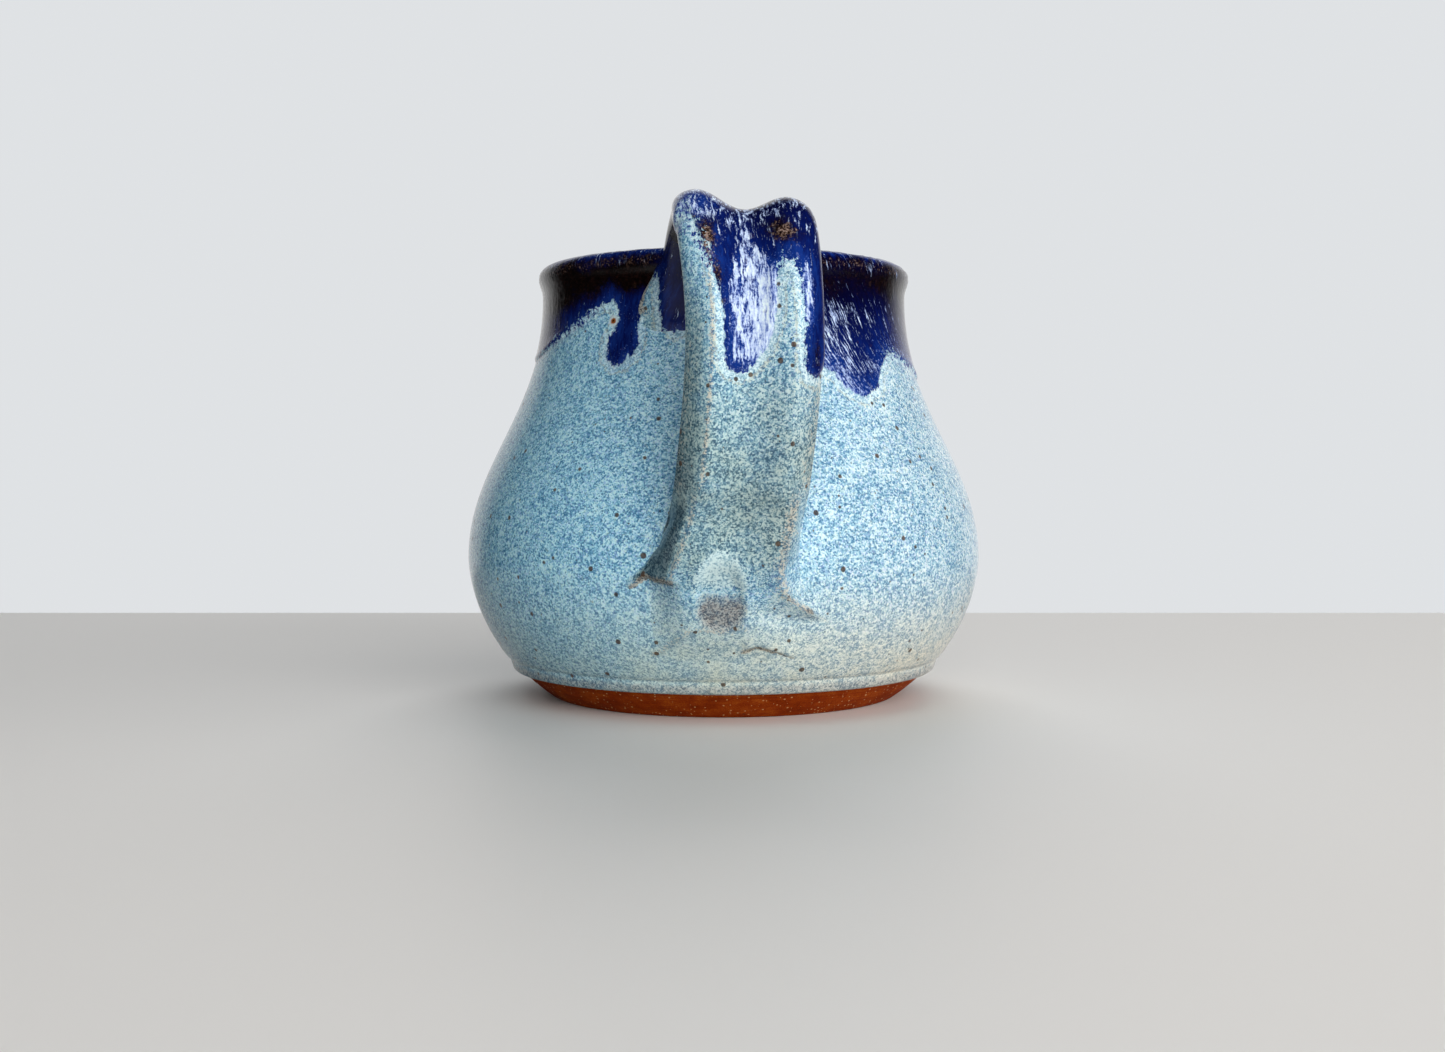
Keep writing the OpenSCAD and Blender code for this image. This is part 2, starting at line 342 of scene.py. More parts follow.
STRAP_ALONG = unit(np.gradient(STRAP_LINE, axis=0))
STRAP_ACROSS = unit((1, 0, 0) - STRAP_ALONG[:, :1] * STRAP_ALONG)
STRAP_OUT = np.cross(STRAP_ALONG, STRAP_ACROSS)
CREST_ROW = int(np.argmax(STRAP_LINE[:, 2]))
PAST_CREST = lengths(STRAP_LINE) - lengths(STRAP_LINE)[CREST_ROW]


def past_crest(height):
    """Distance along the strap, from its crest down the grip, at a height."""
    return float(np.interp(-height, -STRAP_LINE[CREST_ROW:, 2], PAST_CREST[CREST_ROW:]))


def strap_section():
    """One turn round the strap's section: the share of its half width, and 1 in front to -1 behind."""
    front = np.linspace(-STRAP_FLAT, STRAP_FLAT, FRONT_STEPS)
    back = np.linspace(STRAP_FLAT, -STRAP_FLAT, BACK_STEPS)
    turn = np.radians(np.linspace(90, -90, 25)[1:-1])
    side = STRAP_FLAT + (1 - STRAP_FLAT) * np.cos(turn)
    edge = np.sin(turn)
    share = np.concatenate([front, side, back, -side, front[:1]])
    lift = np.concatenate([np.ones(FRONT_STEPS), edge, -np.ones(BACK_STEPS), -edge, [1]])
    return share, lift


STRAP_SHARE, STRAP_LIFT = strap_section()
STRAP_COLUMNS = len(STRAP_SHARE) - 1
# Distance round the section from the middle of its front
STRAP_ROUND = np.where(STRAP_LIFT >= 0, STRAP_SHARE * STRAP_W / 2,
                       np.sign(STRAP_SHARE) * (STRAP_W - np.abs(STRAP_SHARE) * STRAP_W / 2))

# Lower root on the belly, by height: how far it stands off, and the places across of its ridges and edges
ROOT_HEIGHT = [15, 17.7, 20, 23.3, 29.3, 35.6, 42.1, 48.8, 55.5]
ROOT_LIFT = [0, 0.15, 0.6, 1.4, 3, 5.4, 8.6, 12.1, 15.9]
LEFT_HEIGHT = [34, 37, 40, 45, 50, 56]
LEFT_RIDGE = [-12.6, -11.8, -10.6, -8.2, -6.1, -4.9]
LEFT_EDGE = [-25, -23.6, -19.6, -15.4, -13.4, -12.8]
RIGHT_HEIGHT = [26, 28, 29.6, 31.5, 33.8, 36, 40, 48.8, 55.5]
RIGHT_RIDGE = [24.5, 22.6, 20.4, 17, 14.4, 12.9, 12.3, 13.4, 14.5]
RIGHT_EDGE = [26.4, 25.4, 23.8, 21.6, 20, 19, 18.2, 18.2, 19]
RIGHT_LIFT = [0.5, 1.6, 2.4, 3.4, 4.6, 5.8, 7.8, 12.1, 15.9]
LEFT_LINE = list(zip(LEFT_RIDGE, LEFT_HEIGHT))
RIGHT_LINE = list(zip(RIGHT_RIDGE, RIGHT_HEIGHT))
PAD_HEIGHT = [12, 20, 26, 30, 34, 37, 40, 45, 50, 56]
PAD_HALF = [17, 25, 28, 26.5, 24, 22.4, 19.8, 17.4, 16.4, 16]
PAD_MIDDLE = [1, 1, 0.8, 0, -1.8, -2, -0.4, 1.5, 2.45, 3.4]
LEFT_CREASE = [(-22.6, 34.6), (-18.7, 37.5), (-15.8, 36.8), (-11.7, 36.6), (-9.5, 36)]
TAIL_CREASE = [(4.6, 19), (8, 20.4), (13, 18.4), (17.6, 16.2)]
LEFT_SMEAR = [(-7.5, 25.4), (-12, 21.8), (-16.6, 18.4)]
ROOT_X = 3
MARK_X = -0.6
MARK_Z = 31
MARK_HALF = 5.9
MARK_UP = 11
MARK_DOWN = 6.8


def mark_reach(across, height):
    """0 in the middle of the finger mark and 1 on its outline, which is arched above and square below."""
    wide = np.abs(across - MARK_X) / MARK_HALF
    above = np.hypot(wide, (height - MARK_Z) / MARK_UP)
    below = (wide**2.6 + np.abs((height - MARK_Z) / MARK_DOWN) ** 2.6) ** (1 / 2.6)
    return np.where(height > MARK_Z, above, below)


def root_side(share, upright, fall):
    """How a side of the root falls from its ridge to its edge: round where it is upright."""
    return upright * (1 - share**2) ** 0.8 + (1 - upright) * (1 - share) ** fall


def root_lift(across, height):
    """How far the lower root of the strap stands off the belly's glaze."""
    top = np.interp(height, ROOT_HEIGHT, ROOT_LIFT)
    upright = ramp(height, 38, 47)

    # Left side: a toe above its crease and a smear below
    ridge_x, edge_x = (np.interp(height, LEFT_HEIGHT, line) for line in (LEFT_RIDGE, LEFT_EDGE))
    share = np.clip((ridge_x - across) / (ridge_x - edge_x), 0, 1)
    toe = top * root_side(share, upright, 1.15)
    smear = top * ramp(across, -18.5, -8.5)
    crease_z = np.interp(across, *zip(*LEFT_CREASE))
    left = smear + (toe - smear) * ramp(height, crease_z - 0.5, crease_z + 0.5)

    # Right side: a ridge that runs out into a toe
    lines = (RIGHT_RIDGE, RIGHT_EDGE, RIGHT_LIFT)
    ridge_x, edge_x, ridge_top = (np.interp(height, RIGHT_HEIGHT, line) for line in lines)
    share = np.clip((across - ridge_x) / (edge_x - ridge_x), 0, 1)
    inner = np.clip((across - ROOT_X) / (ridge_x - ROOT_X), 0, 1)
    face = top + (ridge_top - top) * inner - 0.9 * np.sin(math.pi * inner) * ramp(height, 44, 34)
    toe = np.where(across > ridge_x, ridge_top * root_side(share, upright, 1.3), face)
    smear = top * ramp(across, 21, 8)
    right = smear + (toe - smear) * ramp(height, 25, 29.5)

    # The strap's channel, the finger mark with its rim, and the creases
    channel = (0.7 + 1.5 * ramp(height, 38, 48)) * arch(across - 2, 10.5) * ramp(height, 34, 44)
    lift = np.where(across < ROOT_X, left, right) - channel
    reach = mark_reach(across, height)
    pressed = np.minimum(lift, 1.3 + 0.23 * np.maximum(height - 26, 0))
    pressed += (lift - pressed) * 0.7 * ramp(height, 33, 42)
    lift += (pressed - lift) * ramp(1 - reach, -0.06, 0.36)
    lift += 0.4 * bump(reach, 1.14, 0.16) * ramp(height, MARK_Z + 2, MARK_Z + 9)
    gap, place = polyline(across, height, TAIL_CREASE)
    line_z = np.interp(across, *zip(*TAIL_CREASE))
    ends = ramp(place, 0, 0.6) * ramp(place, 3, 2.3)
    lift += 0.6 * ends * ramp(height, line_z - 0.3, line_z + 0.3) * bump(gap, 0, 4)
    lift -= 0.4 * ends * bump(gap, 0, 0.45)
    gap, _ = polyline(across, height, LEFT_SMEAR)
    return np.clip(lift + 0.4 * bump(gap, 0, 0.9), 0, None)


def strap_points(row, column, coat):
    """Points on the strap's surface, with a coat added to the pale glaze."""
    share, lift = STRAP_SHARE[column], STRAP_LIFT[column]
    past = PAST_CREST[row]
    beyond = np.clip((np.abs(share) - STRAP_FLAT) / (1 - STRAP_FLAT), 0, 1)
    bevel = (1 - beyond**STRAP_BEVEL) ** (1 / STRAP_BEVEL)
    grip = ramp(past, 8, 34)
    level = np.where(lift > 0, lift + (bevel - lift) * grip, lift)
    level -= STRAP_WIDEST * grip * np.where(level > 0, 1 - level, 1 + level)
    width = STRAP_W + 1.2 * bump(past, 0, 18) + 2 * coat
    thick = STRAP_T + 2 * coat
    channel = GRIP_CHANNEL + (CREST_CHANNEL - GRIP_CHANNEL) * bump(past, 4, 26)
    across = share * width / 2
    out = level * thick / 2 - np.clip(lift, 0, 1) * channel * arch(share, STRAP_RIDGE)
    out -= across * STRAP_ROLL * ramp(STRAP_LINE[row, 2], 46, 66)
    spot = STRAP_LINE[row] + across[:, None] * STRAP_ACROSS[row] + out[:, None] * STRAP_OUT[row]
    return rooted_above(rooted_below(spot, row, share, lift, coat), past)


def rooted_below(spot, row, share, lift, coat):
    """The strap's tail laid onto the belly as a smeared pad."""
    middle = STRAP_LINE[row, 2]
    weight = ramp(middle, 60, 45)
    near = weight > 0
    turn, height, off = to_body(spot[near])
    w, z, side = weight[near], middle[near], lift[near]
    across = np.interp(z, PAD_HEIGHT, PAD_MIDDLE) + share[near] * np.interp(z, PAD_HEIGHT, PAD_HALF)
    pad = root_lift(across, z) + coat - 0.08
    pad = np.where(side >= 0, pad, pad * (1 + side) + 3 * side)
    radius = skin_radius(height)
    turn = ((1 - w) * turn * radius + w * across) / radius
    moved = spot.copy()
    moved[near] = from_body(turn, (1 - w) * height + w * z, (1 - w) * off + w * pad)
    return moved


def rooted_above(spot, past):
    """The strap's upper end spread onto the neck with a soft fillet, widest and longest underneath."""
    near = past < NECK_PART
    upper = spot[near]
    least = skin_radius(upper[:, 2]) - 0.6 * WALL_T
    upper[:, :2] *= np.maximum(1, least / np.hypot(upper[:, 0], upper[:, 1]))[:, None]
    turn, height, off = to_body(upper)
    radius = skin_radius(height)
    spread = np.clip(1 - off / 13, 0, 1) ** 2.2
    height = height + 0.65 * spread * np.minimum(height - ROOT_TOP, 0)
    across = turn * radius * (1 + 0.5 * spread * np.clip((ROOT_TOP + 2 - height) / 15, 0, 1))
    moved = spot.copy()
    moved[near] = from_body(across / radius, height, off)
    return moved


# Edge of the cobalt on the strap: distance round from the middle of its front, and height on the grip
STRAP_BORDER = [
    (-34, 108), (-24, 109), (-19, 113), (-16, 118), (-13.6, 120), (-12.4, 118.4), (-11.4, 114.6),
    (-9.4, 109.5), (-7.8, 103.5), (-6.9, 97), (-6.8, 91), (-6.6, 87.3), (-5.6, 85.2), (-3.6, 84.3),
    (-1.8, 85.2), (0.4, 87.4), (2.7, 90.5), (4.4, 95), (5.2, 100), (5.2, 105), (5.7, 107.4),
    (7.6, 109), (9.6, 107.8), (10.8, 104), (11.3, 98), (11.3, 91), (11.5, 87), (12.6, 84.7),
    (14.5, 84.3), (16, 86), (18, 92), (20, 99), (24, 106), (34, 108),
]
STRAP_EDGE = [(across, past_crest(height)) for across, height in STRAP_BORDER]
STRAP_FAR = [(34, -80), (-34, -80)]
# The pale corner that the cobalt leaves on the left of the upper root: its turn and its top
CORNER_TURN = -17.6
CORNER_Z = 111.5
# Lowest cobalt under the strap, what its sheet keeps beyond its edge, and how deep in the wall it ends
UNDER_Z = 97.5
SKIRT = 0.8
SUNK = 0.9


def strap_cobalt(round_way, past, spots):
    """Distance inside the cobalt's edge on the strap."""
    found = signed(round_way, past, STRAP_EDGE, STRAP_FAR)
    height = spots[:, 2]
    turn = np.degrees(turn_of(spots))
    corner = np.minimum((CORNER_TURN - turn) * 0.9, CORNER_Z - height)
    found = np.where(past < -14, np.minimum(found, -corner), found)
    under = (np.abs(round_way) > 14) & (past < -8)
    return np.where(under, np.minimum(found, height - UNDER_Z), found)


def to_spots(bm, spots):
    """Moves a mesh's vertices to places in millimetres."""
    for vert, spot in zip(bm.verts, spots * MM):
        vert.co = spot


def closed(bm, fill=False):
    """Merges seams, fills open ends where asked, and turns the faces outwards."""
    bmesh.ops.remove_doubles(bm, verts=bm.verts, dist=MERGE)
    if fill:
        bmesh.ops.holes_fill(bm, edges=bm.edges)
    bmesh.ops.recalc_face_normals(bm, faces=bm.faces)
    return bm


def turned(line, ring=False):
    """A line of radius and height, spun round the pitcher's axis with its pouring lip pulled."""
    bm = bmesh.new()
    verts = [bm.verts.new((radius * MM, 0, height * MM)) for radius, height in line]
    pairs = list(zip(verts, verts[1:]))
    if ring:
        pairs.append((verts[-1], verts[0]))
    edges = [bm.edges.new(pair) for pair in pairs]
    bmesh.ops.spin(bm, geom=verts + edges, cent=(0, 0, 0), axis=(0, 0, 1), angle=math.tau,
                   steps=TURN_STEPS, use_merge=True)
    to_spots(bm, pulled(np.array([v.co for v in bm.verts]) / MM))
    return closed(bm)


def sheet(columns, rows, place):
    """A grid whose corners move to place(column, row), which counts both from 0."""
    bm = bmesh.new()
    bmesh.ops.create_grid(bm, x_segments=columns, y_segments=rows, size=0.5)
    flat = np.array([v.co[:2] for v in bm.verts]) + 0.5
    column = np.rint(flat[:, 0] * columns).astype(int)
    row = np.rint(flat[:, 1] * rows).astype(int)
    to_spots(bm, place(column, row))
    return bm, column, row


def shown(name, data):
    """A new object in the scene."""
    made = bpy.data.objects.new(name, data)
    bpy.context.scene.collection.objects.link(made)
    return made


def solid(name, bm, material):
    """A finished mesh as an object in the scene."""
    mesh = bpy.data.meshes.new(name)
    bm.to_mesh(mesh)
    bm.free()
    mesh.materials.append(material)
    return shown(name, mesh)


def piece(name, bm, material, slot, *nodes):
    """A finished mesh as a piece that rides on the frame and stands for CAD nodes."""
    for face in bm.faces:
        face.smooth = True
    made = solid(name, bm, material)
    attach(made, "root")
    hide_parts(*nodes)
    return made


def of_vertices(made, name):
    """A vector of each vertex of a piece."""
    found = np.empty(len(made.data.vertices) * 3, np.float32)
    made.data.vertices.foreach_get(name, found)
    return found.reshape(-1, 3).astype(float)


def paint(made, cobalt, ragged, flow, marks, thin_glaze_and_shade):
    """Stores the fields of each vertex that the glaze reads.

    The cobalt's depth inside its edge, and how ragged that is; places across and along its runs, and a
    pool, mauve above 0 and white below, the white inside the finger mark partly a painted highlight;
    milk, iron, and wear, partly painted shade in the strap's creases and upper seam; thin glaze, cream
    above 0 and dark below, with painted shade as less cream on the body's left and as the darkest glaze
    on the strap's left flank and toe.
    """
    fields = {"cobalt": np.clip(cobalt, -30, 30), "ragged": ragged, "flow": np.stack(flow, 1),
              "marks": np.stack(marks, 1), "thin_glaze_and_shade": thin_glaze_and_shade}
    for name, values in fields.items():
        kind, key = ("FLOAT_VECTOR", "vector") if values.ndim == 2 else ("FLOAT", "value")
        layer = made.data.attributes.new(name, kind, "POINT")
        layer.data.foreach_set(key, values.astype(np.float32).ravel())


def paint_body(made):
    """Works out the glaze's fields on the body."""
    spots = of_vertices(made, "co") / MM
    facing = of_vertices(made, "normal")
    turn = turn_of(spots)
    height = spots[:, 2]
    inner = facing[:, 0] * np.sin(turn) - facing[:, 1] * np.cos(turn) < -0.1
    cobalt = np.where(inner, height - LIP_TOP + inner_dip(turn), neck_cobalt(turn, height))
    degrees = np.degrees(turn)
    right = ramp(degrees, 14, 24) * ramp(degrees, 100, 70)
    milk = right * (0.32 * bump(degrees, 32, 10) + 0.22) * ramp(height, 112, 102)
    edge = ramp(height, 116.6, 117.6) * ~inner
    left = ramp(degrees, -38, -60) * ramp(degrees, -176, -110)
    iron = ramp(height + 4 * left, 104, 112) * (1 - 0.25 * right) * (1 - 0.8 * edge)
    broken = 0.42 * ramp(height, 112.5, 115.5) * (1 - 0.6 * edge) * np.where(inner, 0.4, 1)
    band = ramp(height, 112.8, 115.4) * ~inner
    iron *= 1 - 0.4 * band
    milk = np.maximum(milk, 0.26 * band)
    pool = 0.7 * bump(height, BARE_H + 1.2, 1.3)
    folded = np.where(np.abs(degrees) > 90, np.sign(degrees) * 180 - degrees, degrees)
    slant = 0.55 * (height - 90) * ramp(degrees, 4, 16) * ramp(degrees, 110, 80)
    cobalt -= np.maximum(cobalt - 2.5, 0) * edge
    ragged = 0.8 * np.maximum(ramp(degrees, 46, 56), ramp(degrees, -36, -44)) * (1 - edge)
    # Cream thin glaze towards the foot; held back on the left as painted shade
    thin_glaze_and_shade = 0.9 * ramp(height, 42, 9) * (0.35 + 0.65 * ramp(spots[:, 0], -50, 4))
    paint(made, cobalt, ragged, (folded + slant, height, pool), (milk, iron, broken), thin_glaze_and_shade)


def paint_strap(made, column, row):
    """Works out the glaze's fields on the strap."""
    spots = of_vertices(made, "co") / MM
    share, lift, round_way = STRAP_SHARE[column], STRAP_LIFT[column], STRAP_ROUND[column]
    past = PAST_CREST[row]
    height = spots[:, 2]
    turn, on_body, off = to_body(spots)
    belly_x = turn * skin_radius(on_body)
    low = ramp(on_body, 56, 50)
    front = ramp(lift, -0.6, 0.2)

    # Milky tongue down the grip, the run on the right, and the crest
    wedge = 0.8 + 0.5 * np.maximum(120 - height, 0)
    milk = ramp(wedge - np.abs(round_way + 0.2), -1, 4) * ramp(height, 82.5, 91)
    milk *= ramp(round_way, -7, -3.4) * ramp(round_way, 8, 5)
    milk *= (past > 0) * (0.8 + 0.16 * ramp(height, 110, 98) * ramp(round_way, -3, 1))
    run = bump(round_way, 12, 1) * ramp(height, 93, 99) * ramp(height, 112, 107)
    middle = bump(round_way, -0.5, 3) * ramp(height, 106, 112) * (past > -2)
    for amount, part in ((0.8, run), (0.56, bump(past, 3, 14) * front), (0.66, middle)):
        milk = np.maximum(milk, amount * part)

    # Brown patches
    rust = bump(round_way, -9, 2.4) * bump(height, 115.5, 4.6)
    rust += 0.8 * bump(round_way, -7.6, 1.6) * bump(height, 107, 4)
    rust += bump(round_way, 7.4, 4) * bump(height, 116.8, 3.2)
    rust *= (past > 0) * front
    iron = 0.95 * rust + 0.5 * bump(round_way, 14, 1.8) * bump(height, 88, 4) * front
    milk *= 1 - 0.25 * np.clip(rust, 0, 1)

    # Glaze worn thin on ridges and edges, and brown lines in the creases that are partly breaking glaze
    # and partly
    # painted shade: lines on the belly, with their widths and amounts
    left_line = bump(share, -0.61, 0.05) * ramp(height, 118, 104) * (lift > 0.4)
    flanks = ramp(np.abs(share), 0.72, 0.95) * ramp(height, 108, 84) * ramp(lift, -0.9, -0.2)
    strap_worn = np.maximum(0.52 * left_line, np.where(share > 0, 0.34, 0.24) * flanks)
    wear_and_shade = 0.64 * rust + strap_worn * (1 - low)
    # A dark brown line along the upper root's seam on the neck: breaking glaze and painted shadow
    seam_wear_and_shadow = (past < -12) * ramp(np.degrees(turn), -15, -17) * ramp(height, 100.5, 103)
    wear_and_shade = np.maximum(wear_and_shade, 0.95 * bump(off, 0.4, 0.7) * seam_wear_and_shadow)
    ends = [
        # Undercut crease of the left toe: brown line, partly breaking glaze and partly painted shade
        (LEFT_CREASE[:4], 0.8, 0.95),
        (LEFT_LINE[1:] + [(-4.6, 60)], 0.9, 0.42),
        (RIGHT_LINE[4:], 1.7, 0.52),
        (RIGHT_LINE[2:5], 0.8, 0.6),
        ([(19.4, 30.2), (21, 29.2)], 0.7, 0.9),
        # Crease of the tail: brown line, partly breaking glaze and partly painted shade
        (TAIL_CREASE, 0.6, 0.95),
        (LEFT_SMEAR, 1.2, 0.36),
        ([(-6.4, 25.2), (-1, 24.4), (5, 25.6)], 0.9, 0.36),
    ]
    for line, width, amount in ends:
        gap, _ = polyline(belly_x, on_body, line)
        wear_and_shade = np.maximum(wear_and_shade, amount * bump(gap, 0, width) * low)

    # White pool in the finger mark, lightened inside partly as a painted highlight where its overhanging
    # top is shaded, and mauve below it
    reach = mark_reach(belly_x, on_body)
    mauve = ramp(1 - reach, -0.16, 0.34) * ramp(on_body, 37.5, 30.5) * low
    outside = 0.12 + 0.16 * ramp(belly_x, 1, -5) * ramp(on_body, 42, 36)
    pool = ramp(1.06 + outside - reach, 0, outside) * (0.74 + 0.14 * ramp(reach, 0.6, 0.95)) * low
    pool *= 1 - 0.4 * ramp(belly_x, -2, -6) * ramp(on_body, 40, 36)
    pool *= ramp(on_body, 32.5, 37)

    # Thin, darker glaze on the strap and the sides of its root, darkest on the strap's left flank and the
    # left toe, which is partly painted shade on the side away from the light
    raised = ramp(off, 0.05, 1.2)
    lean_glaze_and_shade = 0.15 + 0.75 * ramp(height, 102, 62)
    beside = np.abs(belly_x - 0.5) - np.interp(on_body, [28, 34, 40, 50], [8, 9, 12, 14])
    lean_glaze_and_shade = lean_glaze_and_shade * (1 - low) + low * raised * 0.9 * ramp(beside, 6, -3) * ramp(on_body, 28, 44)
    # Left toe and left flank: darker glaze and painted shade
    flank_x = np.interp(on_body, LEFT_HEIGHT, LEFT_RIDGE)
    toe = ramp(flank_x - belly_x, 0.4, 2) * ramp(on_body, 35.6, 37.4)
    lean_glaze_and_shade = np.maximum(lean_glaze_and_shade, low * raised * 1.9 * toe)
    flank_glaze_and_shade = 0.82 + 0.9 * ramp(height, 80, 56)
    lean_glaze_and_shade = np.maximum(lean_glaze_and_shade, (1 - low) * flank_glaze_and_shade * ramp(share, -0.66, -0.8) * ramp(height, 112, 88))
    thin_glaze_and_shade = 0.85 * ramp(on_body, 46, 10) * low - lean_glaze_and_shade

    ragged = ramp(round_way, -5, -9) * ramp(height, 106, 113)
    ragged = np.maximum(ragged, 0.7 * bump(round_way, 7.6, 3) * ramp(height, 102, 107))
    flow = (round_way, past + 14 * np.tanh(past / 8), mauve - pool)
    paint(made, strap_cobalt(round_way, past, spots), ragged * front, flow, (milk, iron, wear_and_shade), thin_glaze_and_shade)


class Value:
    """A socket that adds Math nodes when it is used in an expression."""

    def __init__(self, shader, socket):
        self.shader = shader
        self.socket = socket

    def _math(self, operation, *values):
        return self.shader.add("Math", enumerate(values), operation=operation)

    def __add__(self, other):
        return self._math("ADD", self, other)

    def __sub__(self, other):
        return self._math("SUBTRACT", self, other)

    def __rsub__(self, other):
        return self._math("SUBTRACT", other, self)

    def __mul__(self, other):
        return self._math("MULTIPLY", self, other)

    __radd__ = __add__
    __rmul__ = __mul__

    def clamped(self):
        return self.shader.add("Clamp", {0: self})

    def step(self, start, end, low=0.0, high=1.0):
        """A smooth step from low at start to high at end."""
        sockets = enumerate((self, start, end, low, high))
        return self.shader.add("MapRange", sockets, interpolation_type="SMOOTHSTEP")

    def axis(self, part):
        return self.shader.add("SeparateXYZ", {0: self}, part)

    def channel(self, part):
        return self.shader.add("SeparateColor", {0: self}, part)


class Shader:
    """The node tree of a material or of the world."""

    def __init__(self, owner):
        owner.use_nodes = True
        self.owner = owner
        self.tree = owner.node_tree

    def add(self, kind, sockets, output=0, **settings):
        """An output of a new node with its settings and the values or links of its sockets."""
        node = self.tree.nodes.new("ShaderNode" + kind)
        for name, value in settings.items():
            setattr(node, name, value)
        for name, value in dict(sockets).items():
            self.put(node.inputs[name], value)
        return Value(self, node.outputs[output])

    def put(self, socket, value):
        if isinstance(value, Value):
            self.tree.links.new(value.socket, socket)
        else:
            socket.default_value = (*value, 1) if socket.type == "RGBA" else value

    def finish(self, **sockets):
        """Fills in a material's surface."""
        surface = self.tree.nodes["Principled BSDF"]
        for name, value in sockets.items():
            self.put(surface.inputs[name.replace("_", " ")], value)
        return self.owner

    def field(self, name, output="Fac"):
        """A vertex field of the piece."""
        return self.add("Attribute", {}, output, attribute_name=name)

    def ray(self, kind):
        """1 for light's rays of a kind and 0 for others."""
        return self.add("LightPath", {}, f"Is {kind} Ray")

    def place(self):
        """Object coordinates in millimetres."""
        spot = self.add("TexCoord", {}, "Object")
        return self.add("VectorMath", {"Vector": spot, "Scale": 1 / MM}, operation="SCALE")

    def vector(self, x, y, z):
        return self.add("CombineXYZ", {0: x, 1: y, 2: z})

    def noise(self, where, size, detail=2.0, roughness=0.5):
        """Soft noise about 0, with cells of a size in millimetres."""
        sockets = {"Vector": where, "Scale": 1 / size, "Detail": detail, "Roughness": roughness}
        return self.add("TexNoise", sockets) - 0.5

    def cells(self, where, size, output):
        return self.add("TexVoronoi", {"Vector": where, "Scale": 1 / size}, output)

    def mix(self, share, first, second, blend="MIX"):
        """One colour over another."""
        sockets = {0: share, 6: first, 7: second}
        return self.add("Mix", sockets, 2, data_type="RGBA", blend_type=blend)

    def tint(self, first, second):
        """One colour times another."""
        return self.mix(1.0, first, second, "MULTIPLY")

    def stops(self, value, colours):
        """A colour ramp with its colours at given places."""
        made = self.add("ValToRGB", {0: value})
        found = made.socket.node.color_ramp
        while len(found.elements) < len(colours):
            found.elements.new(0.5)
        for element, (place, rgb) in zip(found.elements, sorted(colours.items())):
            element.position = place
            element.color = (*rgb, 1)
        return made

    def bump(self, height, strength, depth):
        sockets = {"Strength": strength, "Distance": depth * MM, "Height": height}
        return self.add("Bump", sockets, "Normal")


def specks(shader, where, size, share, least, most):
    """Iron specks: 1 inside some of the cells' spots, which differ in size."""
    spread = shader.cells(where, size, "Distance")
    pick = shader.cells(where, size, "Color").channel(0)
    wanted = pick.step(1 - share, 1.0)
    reach = (least + wanted * (most - least)) * (1 / size)
    ragged = shader.noise(where, 0.5, 1) * 0.35
    return (reach * (1 + ragged) - spread).step(0, 0.05) * pick.step(1 - share, 1 - share + 0.01)


